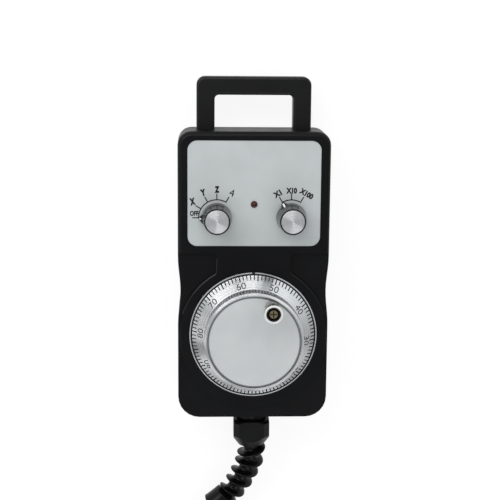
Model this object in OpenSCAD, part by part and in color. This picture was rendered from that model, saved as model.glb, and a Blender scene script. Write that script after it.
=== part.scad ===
// Hand-held pulse generator pendant: a graduated handwheel on an optical encoder, two rotary
// selectors and a lamp in a two-part moulded housing, with a hanging handle and a flying lead.
// Lies on its back. The origin is on the back face under the handwheel's axis, +Y points to
// the hanging handle and +Z out of the face. Millimetres.

/* [Housing] */
// Half of the housing's width at its two ends
body_half_w = 45; // [44:0.5:48]
// How far each side pulls in at the grip's waist
waist_depth = 1.5; // [0:0.1:2.5]
// Thickness from the flat back to the raised face
body_h = 34; // [34:0.5:38]
// Top wall, from the handwheel's axis
body_top_y = 121.5; // [121:0.5:126]
// Bottom wall, from the handwheel's axis
body_low_y = -52.4; // [-56:0.2:-52]
// Side wall thickness
wall = 2.5; // [2:0.1:3]
// Height at which the front and rear covers part
split_z = 8; // [7:0.5:8.5]
// Radius of the moulded edge round the face
face_edge_r = 3; // [1:0.5:4]
// Depth of the thumb hollows and low corners below the raised face
cheek_depth = 1.8; // [0.5:0.1:2.2]

/* [Hanging handle] */
// Half of the handle's outer width
handle_half_w = 34; // [30:0.5:36]
// Width of the bar that the handle is made of
handle_bar = 10.8; // [8:0.2:12]
// Top of the handle, from the handwheel's axis
handle_top_y = 152.6; // [148:0.2:160]
// Thickness of the handle's bar
handle_t = 11.5; // [9:0.5:12]

/* [Control plate] */
// Width of the printed aluminium plate
plate_w = 78.3; // [70:0.1:82]
// Height of the printed aluminium plate
plate_h = 62.4; // [60:0.1:64]
// Middle of the plate, from the handwheel's axis
plate_y = 85.1; // [84.5:0.1:86]
// Corner radius of the plate
plate_corner_r = 5.7; // [3:0.1:8]

/* [Selectors] */
// Distance between the two selector axes
knob_pitch = 43.9; // [40:0.1:48]
// Selector axes above the handwheel's axis
knob_y = 70.8; // [68:0.1:74]
// Radius of a selector knob's skirt
knob_skirt_r = 8.9; // [8.5:0.1:9.5]
// Radius of a selector knob's grip
knob_grip_r = 7.65; // [7.6:0.05:8]
// Height of a selector knob
knob_h = 15.6; // [14:0.1:18]
// Angle between two selector positions
click_angle = 30; // [20:5:45]

/* [Handwheel] */
// Radius of the graduated dial
dial_r = 36.5; // [36:0.1:36.8]
// Radius of the knurled hub over the ridges
hub_r = 29.4; // [29:0.1:30.5]
// Top of the hub's rim above the back face
hub_top_z = 52.9; // [50:0.1:56]
// Ridges round the knurled hub
knurl_count = 100; // [60:10:150]
// Radius of the inset face disc
face_disc_r = 27.3; // [26:0.1:27.4]
// Distance of the spinner grip from the handwheel's axis
grip_orbit_r = 23.2; // [20:0.1:23.5]
// Angle of the spinner grip at rest
grip_angle = 64.2; // [0:0.1:360]
// Height of the spinner grip above the face disc
grip_h = 17.6; // [14:0.1:22]

/* [Cable] */
// Cable diameter
cable_d = 7; // [6:0.5:7]
// Height of the gland's axis above the back face
gland_z = 17; // [17:0.5:18]
// Width across the gland nut's main flats
gland_nut_w = 21.9; // [20:0.1:23]
// Outer diameter of the spiral guard at the nut
guard_d = 18.4; // [13:0.2:19]
// Turns of the guard's rib
guard_turns = 4.88; // [4:0.02:7]
// Turns of stored cable in the lower layer of the coil
coil_turns = 4; // [3:1:5]

/* [Hidden] */
$fn = 96;

tiny = 0.01;

// Housing levels
ceiling_z = body_h - 4.5;
plate_floor_z = body_h - 1;
bezel_floor_z = body_h - 2.4;
plate_t = 0.6;
plate_top_z = plate_floor_z + plate_t;
corner_low_r = 13;
corner_top_r = 8;
back_edge_r = 2;
waist_y = 26.5;
waist_half_l = 21;
seal_t = 0.8;
seal_inset = 0.6;
floor_t = 2.5;

// Raised parts of the face
neck_half_w = 21.7;
shelf_y = 49.5;
ring_r = 42.8;
ring_low_r = 44.3;
ring_low_y = -1.5;

// Fasteners
screw_r = 1.5;
screw_head_r = 2.9;
screw_head_h = 2.2;
cover_screw_at = [[37.6, 113], [35.5, -44.5]];
cover_boss_r = 4.2;
handle_screw_r = 2;
handle_z = 8.5;
handle_edge_r = 1.8;
handle_leg_x = handle_half_w - handle_bar / 2;

// Encoder
shaft_r = 3.95;
bearing_in_r = 4;
bearing_out_r = 6.5;
encoder_r = 30;
encoder_flange_r = 36.5;
encoder_screw_orbit = 33.2;
encoder_top_z = body_h - 0.2;
encoder_cap_z = 13;
encoder_disc_z = 18.2;

// Bezel and dial
bezel_r = 38.3;
bezel_top_z = body_h + 1.05;
bezel_in_r = 37.15;
dial_under_z = body_h + 0.5;
dial_edge_z = body_h + 1.2;
scale_top_z = body_h + 7.7;
scale_in_r = hub_r + 0.2;
knurl_top_z = scale_top_z + 7.5;
rim_in_r = face_disc_r + 0.3;
face_disc_top_z = hub_top_z - 0.55;
face_disc_t = 2;
web_t = 4.4;
web_top_z = face_disc_top_z - face_disc_t;
web_low_z = web_top_z - web_t;

// Spinner grip
grip_at = [grip_orbit_r * cos(grip_angle), grip_orbit_r * sin(grip_angle)];
grip_gap = 0.35;
grip_z = face_disc_top_z + grip_gap;
grip_recess_z = face_disc_top_z + grip_h - 4;
grip_bush_r = 2.2;
running_gap = 0.05;

// Selectors
axis_at = [-knob_pitch / 2, knob_y];
multiplier_at = [knob_pitch / 2, knob_y];
axis_rest = 180;
multiplier_rest = 120;
knob_gap = 0.4;
knob_z = plate_top_z + knob_gap;
knob_top_z = plate_top_z + knob_h;
knob_cap_r = knob_grip_r - 0.8;
bushing_r = 4.5;
selector_shaft_r = 3;
switch_r = 12.5;
switch_low_z = 16;
lamp_y = 78.8;

// Boards
board_z = 6;
board_t = 1.6;
board_half_w = 33;
board_low_y = 43;
board_top_y = 116;
board_screw_at = [[-29, 47], [29, 47], [-29, 104], [29, 104]];

// Gland, measured along the cable from the housing's bottom wall
gland_thread_r = 7.5;
gland_hex_w = 19.6;
gland_flange_l = 5.1;
gland_nut_l = 16.7;
nut_taper_l = 7.5;
gland_bore_r = cable_d / 2 + 0.4;

// Route of the guard's middle line: out of the nut, over to the left and down to the table
guard_route = [[0, -67, 17], [0, -74.2, 17], [0.2, -81.2, 15.9], [-1.6, -87.9, 14.5],
               [-4.3, -94.7, 13.1], [-7.6, -101.3, 11.8], [-11.7, -107.4, 10.7],
               [-16.2, -112.8, 10.1], [-20.7, -117.6, 9.9], [-23.1, -120, 9.8]];
// Route of the lead from the guard down on to the table and into the coil
lead_route = [[-23.1, -120, 9.8], [-27.6, -123.9, 9], [-32.5, -127.5, 7.6],
              [-37.8, -130.6, 5.9], [-43.6, -133.2, 4.3], [-50, -135.3, 3.5]];
coil_at = [-33, -185];
// Route of the tail from the top of the coil over its edge to the connector
tail_route = [[-1.5, -222.5, 9.6], [5.6, -216.4, 10.2], [12.6, -209.6, 10.6],
              [18.8, -202.5, 10.1], [23.8, -195.5, 9.5], [27.5, -188.5, 9.2],
              [29.8, -181.8, 9.4], [31.2, -175, 9.6]];
// Route of the cable inside the housing, under the encoder to the terminals
inner_route = [[0, -67, 17], [0, -60, 17], [0, -52, 17], [0, -45, 16.7], [0, -38.5, 14.4],
               [0, -32, 10.6], [0, -25, 7.8], [0, -16, 6.9], [0, 0, 6.8], [0, 20, 6.8],
               [0, 31, 7.9], [0, 39, 11], [0, 45.8, 12]];

// Coil of stored cable
coil_mean_r = 6 * cable_d;
coil_h = 1.87 * cable_d;
coil_half_w = coil_turns * cable_d / 2;

// Connector, lying on the table beyond the tail
connector_at = tail_route[len(tail_route) - 1];
connector_turn = 12;
connector_r = 8.6;
connector_ring_r = 9.5;

// ---- Outlines and lofts ----

function arc(centre, r, from, to, n = 6) =
    [for (i = [0:n]) let (a = from + (to - from) * i / n) centre + r * [cos(a), sin(a)]];

// Half width of the housing at a height y, pulled in smoothly at the waist
function side_x(y) =
    abs(y - waist_y) >= waist_half_l ? body_half_w
    : body_half_w - waist_depth * pow(cos(90 * (y - waist_y) / waist_half_l), 2);

function waist_side(side, inset) =
    [for (i = [-6:6]) let (y = waist_y + side * i * waist_half_l / 6) [side * (side_x(y) - inset), y]];

// The housing's outline, drawn in by inset all round
function body_outline(inset) = concat(
    arc([body_half_w - corner_low_r, body_low_y + corner_low_r], corner_low_r - inset, -90, 0),
    waist_side(1, inset),
    arc([body_half_w - corner_top_r, body_top_y - corner_top_r], corner_top_r - inset, 0, 90),
    arc([corner_top_r - body_half_w, body_top_y - corner_top_r], corner_top_r - inset, 90, 180),
    waist_side(-1, inset),
    arc([corner_low_r - body_half_w, body_low_y + corner_low_r], corner_low_r - inset, 180, 270));

// The handle's arch, drawn in by inset, with legs that run on past the housing's wall
function handle_outline(inset, outer_r = 5, inner_r = 2.5) =
    let (out_x = handle_half_w - inset,
         in_x = handle_half_w - handle_bar + inset,
         in_y = handle_top_y - handle_bar)
    concat(
        [[out_x, body_top_y - 5]],
        arc([handle_half_w - outer_r, handle_top_y - outer_r], outer_r - inset, 0, 90),
        arc([outer_r - handle_half_w, handle_top_y - outer_r], outer_r - inset, 90, 180),
        [[-out_x, body_top_y - 5], [-in_x, body_top_y - 5]],
        arc([inner_r - handle_half_w + handle_bar, in_y - inner_r], inner_r + inset, 180, 90),
        arc([handle_half_w - handle_bar - inner_r, in_y - inner_r], inner_r + inset, 90, 0),
        [[in_x, body_top_y - 5]]);

// Heights and insets of a rounded edge, from the flank up to the given angle of its quarter round
function edge_rings(r, to = 90, n = 4) =
    [for (i = [0:n]) let (a = to * i / n) [r * sin(a), r * (1 - cos(a))]];

function reversed(list) = [for (i = [len(list) - 1:-1:0]) list[i]];

// The end face of a loft as one outline, or as a strip across an arch whose two sides match
function end_faces(n, arch) =
    arch ? [for (i = [0:n / 2 - 2]) [i, i + 1, n - 2 - i, n - 1 - i]] : [[for (i = [0:n - 1]) i]];

// A closed solid through rings of points, each ring given at its own height
module loft(rings, arch = false) {
    n = len(rings[0]);
    last = len(rings) - 1;
    polyhedron(
        points = [for (ring = rings) for (p = ring) p],
        faces = concat(
            end_faces(n, arch),
            [for (face = end_faces(n, arch)) [for (i = reversed(face)) last * n + i]],
            [for (k = [0:last - 1]) for (i = [0:n - 1]) let (j = (i + 1) % n)
                [k * n + i, (k + 1) * n + i, (k + 1) * n + j, k * n + j]]));
}

function at_height(outline, z) = [for (p = outline) [p[0], p[1], z]];

// ---- Tubes along a route ----

function unit(v) = v / norm(v);

function spline_point(p, i, t) =
    let (a = p[max(i - 1, 0)], b = p[i], c = p[i + 1], d = p[min(i + 2, len(p) - 1)])
    b + 0.5 * t * ((c - a) + t * ((2 * a - 5 * b + 4 * c - d) + t * (3 * b - a - 3 * c + d)));

function smooth_route(p, steps) = concat(
    [for (i = [0:len(p) - 2]) for (k = [0:steps - 1]) spline_point(p, i, k / steps)],
    [p[len(p) - 1]]);

function heading(path, i) = unit(path[min(i + 1, len(path) - 1)] - path[max(i - 1, 0)]);

function route_ring(path, i, radii) =
    let (side = unit(cross(heading(path, i), [0, 0, 1])),
         up = cross(side, heading(path, i)),
         n = len(radii))
    [for (s = [0:n - 1]) path[i] + radii[s] * (cos(360 * s / n) * side + sin(360 * s / n) * up)];

// Sweeps rings of the given radii along a path that is nowhere upright
module swept(path, radii) {
    n = len(radii[0]);
    last = len(path) - 1;
    polyhedron(
        points = [for (i = [0:last]) for (p = route_ring(path, i, radii[i])) p],
        faces = concat(
            [[for (s = [n - 1:-1:0]) s]],
            [[for (s = [0:n - 1]) last * n + s]],
            [for (i = [0:last - 1]) for (s = [0:n - 1]) let (j = (s + 1) % n)
                [i * n + s, i * n + j, (i + 1) * n + j, (i + 1) * n + s]]));
}

module cable_tube(route, steps, sides = 10) {
    path = smooth_route(route, steps);
    ring = [for (s = [1:sides]) cable_d / 2];
    swept(path, [for (p = path) ring]);
}

// ---- Small shared shapes ----

module rounded_rect(w, h, r) {
    square([w - 2 * r, h], center = true);
    square([w, h - 2 * r], center = true);
    for (x = [-1, 1], y = [-1, 1])
        translate([x * (w / 2 - r), y * (h / 2 - r)])
            circle(r);
}

module ring(out_r, in_r, h) {
    difference() {
        cylinder(r = out_r, h = h);
        translate([0, 0, -1])
            cylinder(r = in_r, h = h + 2);
    }
}

module box_between(low, high) {
    translate(low)
        cube(high - low);
}

// Regular prism with the given width across its flats
module nut_prism(flats, h, sides = 6) {
    rotate(180 / sides)
        cylinder(r = flats / 2 / cos(180 / sides), h = h, $fn = sides);
}

module cross_slot(r, depth) {
    for (a = [0, 90])
        rotate(a)
            translate([-r, -r * 0.2, -depth])
                cube([2 * r, r * 0.4, depth + 1]);
}

// Pan-head screw: the head's seat is at z = 0 and the shank points down
module pan_screw(r, length, head_r, head_h) {
    difference() {
        union() {
            translate([0, 0, -length])
                cylinder(r = r, h = length + tiny);
            cylinder(r = head_r, h = head_h * 0.6);
            translate([0, 0, head_h * 0.6 - tiny])
                cylinder(r1 = head_r, r2 = head_r * 0.72, h = head_h * 0.4 + tiny);
        }
        translate([0, 0, head_h])
            cross_slot(head_r * 0.62, head_h * 0.55);
    }
}

module at_cover_screws() {
    for (p = cover_screw_at, side = [-1, 1])
        translate([side * p[0], p[1], 0])
            children();
}

module at_encoder_screws() {
    for (a = [30, 150, 270])
        rotate(a)
            translate([encoder_screw_orbit, 0, 0])
                children();
}

module at_handle_screws() {
    for (side = [-1, 1])
        translate([side * handle_leg_x, body_top_y - wall, handle_z + handle_t / 2])
            rotate([90, 0, 0])
                children();
}

// ---- Housing ----

// Everything outside the neck and the ring that stands up round the dial
module low_face() {
    offset(r = 3, $fn = 32) offset(delta = -3)
        difference() {
            translate([-body_half_w - 15, body_low_y - 15])
                square([2 * body_half_w + 30, shelf_y - body_low_y + 15]);
            translate([-neck_half_w, 0])
                square([2 * neck_half_w, shelf_y + 5]);
            circle(ring_r);
            translate([0, ring_low_y])
                circle(ring_low_r);
        }
}

// The rounded edge is a loft that stops just under the face, and a prism makes the flat face
module front_solid() {
    edge = edge_rings(face_edge_r, 80);
    loft(concat(
        [at_height(body_outline(0), split_z)],
        [for (e = edge) at_height(body_outline(e[1]), body_h - face_edge_r + e[0])]));
    translate([0, 0, body_h - face_edge_r])
        linear_extrude(face_edge_r)
            polygon(body_outline(edge[len(edge) - 1][1]));
}

module front_bosses() {
    at_cover_screws()
        translate([0, 0, split_z])
            cylinder(r = cover_boss_r, h = ceiling_z - split_z + 0.5);
}

module front_cover() color([0.1, 0.1, 0.11])
difference() {
    union() {
        difference() {
            front_solid();
            translate([0, 0, split_z - 1])
                linear_extrude(ceiling_z - split_z + 1)
                    polygon(body_outline(wall));
        }
        front_bosses();
    }
    translate([0, 0, body_h - cheek_depth])
        linear_extrude(cheek_depth + 1)
            low_face();
    translate([0, plate_y, plate_floor_z])
        linear_extrude(2)
            rounded_rect(plate_w + 0.4, plate_h + 0.4, plate_corner_r + 0.2);
    translate([0, 0, bezel_floor_z])
        cylinder(r = bezel_r + 0.1, h = 10);
    translate([0, 0, ceiling_z - 1])
        cylinder(r = encoder_r + 0.1, h = 10);
    for (p = [axis_at, multiplier_at])
        translate([p[0], p[1], ceiling_z - 1])
            cylinder(r = bushing_r + 0.1, h = 10);
    translate([0, lamp_y, ceiling_z - 1])
        cylinder(r = 1.6, h = 10);
    at_encoder_screws()
        translate([0, 0, ceiling_z - 1])
            cylinder(r = screw_r + 0.2, h = 5);
    at_cover_screws()
        translate([0, 0, split_z - 1])
            cylinder(r = screw_r, h = 16);
    translate([0, body_low_y + wall + 1, gland_z])
        rotate([90, 0, 0])
            cylinder(r = gland_thread_r + 0.1, h = wall + 2);
    at_handle_screws()
        translate([0, 0, -wall - 1])
            cylinder(r = handle_screw_r + 0.2, h = wall + 2);
}

module rear_solid() {
    edge = edge_rings(back_edge_r);
    loft(concat(
        [for (e = reversed(edge)) at_height(body_outline(e[1]), back_edge_r - e[0])],
        [at_height(body_outline(0), split_z - seal_t)]));
}

module rear_posts() {
    at_cover_screws()
        translate([0, 0, floor_t - tiny])
            cylinder(r = cover_boss_r, h = split_z - floor_t + tiny);
    for (p = board_screw_at)
        translate([p[0], p[1], floor_t - tiny])
            cylinder(r = 3, h = board_z - floor_t + tiny);
    for (y = [-30, 24])
        translate([-42, y, floor_t - tiny])
            cube([84, 1.6, 1.6]);
}

module rear_cover() color([0.1, 0.1, 0.11])
difference() {
    union() {
        difference() {
            rear_solid();
            translate([0, 0, floor_t])
                linear_extrude(split_z)
                    polygon(body_outline(wall));
        }
        rear_posts();
    }
    at_cover_screws() {
        translate([0, 0, -1])
            cylinder(r = screw_head_r + 0.3, h = screw_head_h + 1.3);
        cylinder(r = screw_r + 0.2, h = split_z + 1);
    }
    for (p = board_screw_at)
        translate([p[0], p[1], floor_t])
            cylinder(r = 1.25, h = 5);
}

module housing_seal() color([0.05, 0.05, 0.05])
translate([0, 0, split_z - seal_t])
    linear_extrude(seal_t)
        difference() {
            polygon(body_outline(seal_inset));
            polygon(body_outline(wall));
        }

module cover_screws() color([0.55, 0.55, 0.57])
at_cover_screws()
    translate([0, 0, screw_head_h + 0.3])
        mirror([0, 0, 1])
            pan_screw(screw_r, 18, screw_head_r, screw_head_h);

// ---- Hanging handle ----

module handle_solid() {
    edge = edge_rings(handle_edge_r, 80);
    loft(concat(
        [for (e = reversed(edge)) at_height(handle_outline(e[1]), handle_z + handle_edge_r - e[0])],
        [for (e = edge) at_height(handle_outline(e[1]), handle_z + handle_t - handle_edge_r + e[0])]),
        arch = true);
    translate([0, 0, handle_z])
        linear_extrude(handle_t)
            polygon(handle_outline(edge[len(edge) - 1][1]));
}

module hanging_handle() color([0.1, 0.1, 0.11])
difference() {
    handle_solid();
    translate([-body_half_w, body_top_y - 20, 0])
        cube([2 * body_half_w, 20, body_h]);
    at_handle_screws()
        translate([0, 0, -wall - 16])
            cylinder(r = handle_screw_r, h = 17);
}

module handle_screws() color([0.55, 0.55, 0.57])
at_handle_screws()
    pan_screw(handle_screw_r, 17, 3.6, 2.6);

// ---- Control plate ----

module control_plate() color([0.75, 0.77, 0.79])
translate([0, 0, plate_floor_z])
    difference() {
        translate([0, plate_y, 0])
            linear_extrude(plate_t)
                rounded_rect(plate_w, plate_h, plate_corner_r);
        for (p = [axis_at, multiplier_at])
            translate([p[0], p[1], -1])
                cylinder(r = bushing_r + 0.15, h = 3);
        translate([0, lamp_y, -1])
            cylinder(r = 1.6, h = 3);
    }

// ---- Encoder ----

module bezel_ring() color([0.78, 0.79, 0.8])
difference() {
    rotate_extrude()
        polygon([[encoder_r + 0.2, bezel_floor_z], [bezel_r, bezel_floor_z],
                 [bezel_r, bezel_top_z - 0.35], [bezel_r - 0.35, bezel_top_z],
                 [bezel_in_r + 0.3, bezel_top_z], [bezel_in_r, bezel_top_z - 0.3],
                 [bezel_in_r, body_h], [encoder_r + 0.2, body_h]]);
    at_encoder_screws()
        translate([0, 0, bezel_floor_z - 1])
            cylinder(r = screw_r, h = 3);
}

module encoder_body() color([0.15, 0.15, 0.16])
difference() {
    union() {
        translate([0, 0, encoder_cap_z + 2])
            cylinder(r = encoder_r, h = encoder_top_z - encoder_cap_z - 2);
        translate([0, 0, ceiling_z - 2.5])
            cylinder(r = encoder_flange_r, h = 2.5);
    }
    translate([0, 0, encoder_cap_z])
        difference() {
            cylinder(r = encoder_r - 2.2, h = encoder_top_z - encoder_cap_z - 2);
            translate([0, 0, 8])
                cylinder(r = 9, h = 20);
        }
    cylinder(r = bearing_out_r, h = body_h + 5);
    at_encoder_screws()
        translate([0, 0, ceiling_z - 4])
            cylinder(r = screw_r + 0.2, h = 5);
}

module encoder_cap() color([0.15, 0.15, 0.16])
translate([0, 0, encoder_cap_z])
    ring(encoder_r, 5, 2);

module encoder_board() color([0.1, 0.35, 0.2])
translate([0, 0, encoder_cap_z + 2])
    ring(encoder_r - 2.3, 8, 1.6);

module encoder_sensor() color([0.08, 0.08, 0.08])
difference() {
    box_between([15, -5, encoder_cap_z + 3.6], [26, 5, encoder_disc_z + 3.4]);
    box_between([14, -6, encoder_disc_z - 0.5], [24, 6, encoder_disc_z + 1.3]);
}

module encoder_screws() color([0.55, 0.55, 0.57])
at_encoder_screws()
    translate([0, 0, ceiling_z - 2.5])
        mirror([0, 0, 1])
            pan_screw(screw_r, 6, screw_head_r, screw_head_h);

module shaft_bearings() color([0.7, 0.71, 0.73])
for (z = [21.4, 29.4])
    translate([0, 0, z])
        difference() {
            ring(bearing_out_r, bearing_in_r, 4);
            for (face_z = [-1, 3.6])
                translate([0, 0, face_z])
                    ring(bearing_out_r - 0.6, bearing_in_r + 0.6, 1.4);
        }

module wheel_shaft() color([0.8, 0.8, 0.82])
difference() {
    union() {
        translate([0, 0, encoder_disc_z - 1.3])
            cylinder(r = shaft_r, h = web_low_z - encoder_disc_z + 1.3);
        translate([0, 0, body_h])
            cylinder(r = shaft_r + 1.2, h = 2);
    }
    translate([0, 0, web_low_z - 9])
        cylinder(r = 2, h = 12);
}

module shaft_clip() color([0.5, 0.5, 0.52])
translate([0, 0, 20.4])
    difference() {
        ring(5.6, shaft_r, 0.6);
        translate([0, -1.4, -1])
            cube([10, 2.8, 3]);
    }

// Fifty windows, each edge read by two sensors, give the hundred counts of a turn
module encoder_disc() color([0.6, 0.62, 0.64])
union() {
    translate([0, 0, encoder_disc_z])
        linear_extrude(0.8)
            difference() {
                circle(23);
                circle(shaft_r);
                for (i = [0:49])
                    rotate(360 * i / 50)
                        translate([19.5, -0.65])
                            square([2.2, 1.3]);
            }
    translate([0, 0, encoder_disc_z - 0.8])
        ring(7, shaft_r, 2.2);
}

// ---- Handwheel ----

module knurl_outline() {
    polygon([for (i = [0:2 * knurl_count - 1])
        let (a = 180 * i / knurl_count, r = i % 2 == 0 ? hub_r + 0.12 : hub_r - 0.6)
            [r * cos(a), r * sin(a)]]);
}

module dial() color([0.82, 0.83, 0.85])
difference() {
    rotate_extrude()
        polygon([[0, body_h + 2], [9, body_h + 2], [9, web_low_z],
                 [hub_r - 3.4, web_low_z], [hub_r - 3.4, scale_top_z],
                 [dial_r - 2.5, dial_under_z], [dial_r, dial_under_z],
                 [dial_r, dial_edge_z], [scale_in_r, scale_top_z],
                 [hub_r, scale_top_z], [hub_r, hub_top_z - 1.2],
                 [hub_r - 1.2, hub_top_z], [rim_in_r, hub_top_z],
                 [rim_in_r, web_top_z], [0, web_top_z]]);
    translate([0, 0, scale_top_z + 1.2])
        linear_extrude(knurl_top_z - scale_top_z - 1.2)
            difference() {
                circle(hub_r + 1);
                knurl_outline();
            }
    translate([0, 0, body_h])
        cylinder(r = bearing_in_r, h = web_low_z - body_h);
    cylinder(r = 2.1, h = hub_top_z);
    translate([0, 0, web_top_z - 2.3])
        cylinder(r = 4.2, h = 5);
    translate([grip_at[0], grip_at[1], 0])
        cylinder(r = screw_r, h = hub_top_z + 1);
}

module dial_screw() color([0.55, 0.55, 0.57])
translate([0, 0, web_top_z - 2.3])
    pan_screw(2, 9, 3.9, 2.2);

module dial_face() color([0.75, 0.77, 0.78])
translate([0, 0, web_top_z])
    difference() {
        union() {
            cylinder(r = face_disc_r, h = face_disc_t - 0.3);
            translate([0, 0, face_disc_t - 0.3 - tiny])
                cylinder(r1 = face_disc_r, r2 = face_disc_r - 0.3, h = 0.3 + tiny);
        }
        translate([grip_at[0], grip_at[1], -1])
            cylinder(r = screw_r + 0.1, h = 5);
    }

// ---- Spinner grip ----

// Turned spool: a wide foot, a waisted neck and a rolled rim round the screw's recess
module grip() color([0.88, 0.88, 0.87])
translate([grip_at[0], grip_at[1], 0])
    rotate_extrude()
        polygon(concat(
            [[grip_bush_r + running_gap, grip_z], [4, grip_z], [4, grip_z + 0.8]],
            [for (i = [1:7]) let (t = i / 8)
                [4 - 1.1 * sin(180 * t) + 1.1 * t * t, grip_z + 0.8 + (grip_h - 4.4) * t]],
            arc([4.95, grip_z + grip_h - 3], 0.45, -60, 0, 3),
            [[5.4, face_disc_top_z + grip_h - 0.4], [5, face_disc_top_z + grip_h],
             [4.4, face_disc_top_z + grip_h], [4.15, face_disc_top_z + grip_h - 0.3],
             [4.15, grip_recess_z], [grip_bush_r + running_gap, grip_recess_z]]));

module grip_bush() color([0.72, 0.6, 0.35])
translate([grip_at[0], grip_at[1], face_disc_top_z])
    ring(grip_bush_r, screw_r + 0.05, grip_recess_z + 0.3 - face_disc_top_z);

module grip_washer() color([0.6, 0.6, 0.62])
translate([grip_at[0], grip_at[1], grip_recess_z + 0.3])
    ring(3.5, screw_r + 0.05, 0.4);

module grip_screw() color([0.72, 0.66, 0.5])
translate([grip_at[0], grip_at[1], grip_recess_z + 0.7])
    pan_screw(screw_r, grip_recess_z + 0.7 - web_low_z - 0.4, 3.25, 2.3);

// ---- Selectors ----

module place_selector(at, turn) {
    translate([at[0], at[1], 0])
        rotate(turn)
            children();
}

// Skirted knob with a pointer towards +X, hollow over the bushing's nut
module selector_knob() {
    difference() {
        union() {
            rotate_extrude()
                polygon([[0, knob_z], [knob_skirt_r, knob_z], [knob_skirt_r, knob_z + 0.8],
                         [knob_grip_r, knob_top_z - 0.3], [knob_grip_r - 0.25, knob_top_z],
                         [0, knob_top_z]]);
            intersection() {
                translate([0, 0, knob_z])
                    linear_extrude(9)
                        polygon([[0, -6.4], [5.2, -5.4], [10, -1.2], [10.7, 0],
                                 [10, 1.2], [5.2, 5.4], [0, 6.4]]);
                translate([0, 0, knob_z])
                    cylinder(r1 = 11.6, r2 = 6.6, h = 9);
            }
        }
        translate([0, 0, knob_z - 1])
            cylinder(r = knob_grip_r - 0.4, h = 6.2);
        translate([0, 0, knob_z])
            cylinder(r = selector_shaft_r, h = knob_h - 3);
        translate([0, 0, knob_top_z - 0.9])
            cylinder(r = knob_cap_r + 0.02, h = 2);
        translate([-12, 0, knob_z + 8.2])
            rotate([0, 90, 0])
                cylinder(r = screw_r, h = 10);
    }
}

module selector_cap() {
    translate([0, 0, knob_top_z - 0.9])
        cylinder(r = knob_cap_r, h = 0.8);
    translate([0, 0, knob_top_z - 0.1 - tiny])
        cylinder(r1 = knob_cap_r, r2 = knob_cap_r - 0.2, h = 0.2);
}

module selector_set_screw() {
    difference() {
        translate([-knob_grip_r + 0.5, 0, knob_z + 8.2])
            rotate([0, 90, 0])
                cylinder(r = screw_r, h = knob_grip_r - selector_shaft_r - 0.2);
        translate([-knob_grip_r - 0.5, -1.3, knob_z + 8])
            cube([1.8, 2.6, 0.4]);
    }
}

module selector_shaft() {
    difference() {
        translate([0, 0, switch_low_z + 2.4])
            cylinder(r = selector_shaft_r, h = knob_top_z - 4 - switch_low_z - 2.4);
        translate([-5 - selector_shaft_r + 0.6, -4, knob_z + 5.4])
            cube([5, 8, 12]);
    }
}

module selector_rotor() {
    translate([0, 0, switch_low_z + 4])
        ring(8.8, selector_shaft_r, 2.4);
    translate([6.5, 0, switch_low_z + 3])
        cylinder(r = 0.8, h = 1 + tiny);
}

// Turned-down can under the front wall with its threaded bushing coming through the plate
module selector_switch_body() {
    difference() {
        union() {
            translate([0, 0, switch_low_z + 1.6])
                cylinder(r = switch_r, h = ceiling_z - switch_low_z - 1.6);
            translate([0, 0, ceiling_z - tiny])
                cylinder(r = bushing_r, h = plate_top_z + 4 - ceiling_z);
        }
        translate([0, 0, switch_low_z])
            cylinder(r = switch_r - 1.6, h = 8.5);
        cylinder(r = selector_shaft_r + running_gap, h = knob_top_z);
    }
}

module selector_wafer() {
    translate([0, 0, switch_low_z]) {
        cylinder(r = switch_r, h = 1.6);
        for (a = [0:click_angle:330])
            rotate(a)
                translate([9.6, -0.5, -3.4])
                    cube([0.5, 1, 3.4 + tiny]);
    }
}

module selector_nut() {
    translate([0, 0, plate_top_z])
        ring(6.8, bushing_r, 0.4);
    translate([0, 0, plate_top_z + 0.4 - tiny])
        difference() {
            nut_prism(11.6, 2);
            translate([0, 0, -1])
                cylinder(r = bushing_r, h = 5);
        }
}

module axis_knob() color([0.07, 0.07, 0.07]) place_selector(axis_at, axis_rest) selector_knob();
module axis_knob_cap() color([0.85, 0.86, 0.87]) place_selector(axis_at, axis_rest) selector_cap();
module axis_set_screw() color([0.4, 0.4, 0.42]) place_selector(axis_at, axis_rest) selector_set_screw();
module axis_shaft() color([0.8, 0.8, 0.82]) place_selector(axis_at, axis_rest) selector_shaft();
module axis_rotor() color([0.9, 0.88, 0.8]) place_selector(axis_at, axis_rest) selector_rotor();
module axis_switch_body() color([0.2, 0.25, 0.4]) place_selector(axis_at, 0) selector_switch_body();
module axis_wafer() color([0.55, 0.4, 0.2]) place_selector(axis_at, 0) selector_wafer();
module axis_nut() color([0.7, 0.7, 0.72]) place_selector(axis_at, 0) selector_nut();

module multiplier_knob() color([0.07, 0.07, 0.07])
place_selector(multiplier_at, multiplier_rest) selector_knob();
module multiplier_knob_cap() color([0.85, 0.86, 0.87])
place_selector(multiplier_at, multiplier_rest) selector_cap();
module multiplier_set_screw() color([0.4, 0.4, 0.42])
place_selector(multiplier_at, multiplier_rest) selector_set_screw();
module multiplier_shaft() color([0.8, 0.8, 0.82])
place_selector(multiplier_at, multiplier_rest) selector_shaft();
module multiplier_rotor() color([0.9, 0.88, 0.8])
place_selector(multiplier_at, multiplier_rest) selector_rotor();
module multiplier_switch_body() color([0.2, 0.25, 0.4])
place_selector(multiplier_at, 0) selector_switch_body();
module multiplier_wafer() color([0.55, 0.4, 0.2]) place_selector(multiplier_at, 0) selector_wafer();
module multiplier_nut() color([0.7, 0.7, 0.72]) place_selector(multiplier_at, 0) selector_nut();

// ---- Lamp and boards ----

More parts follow.
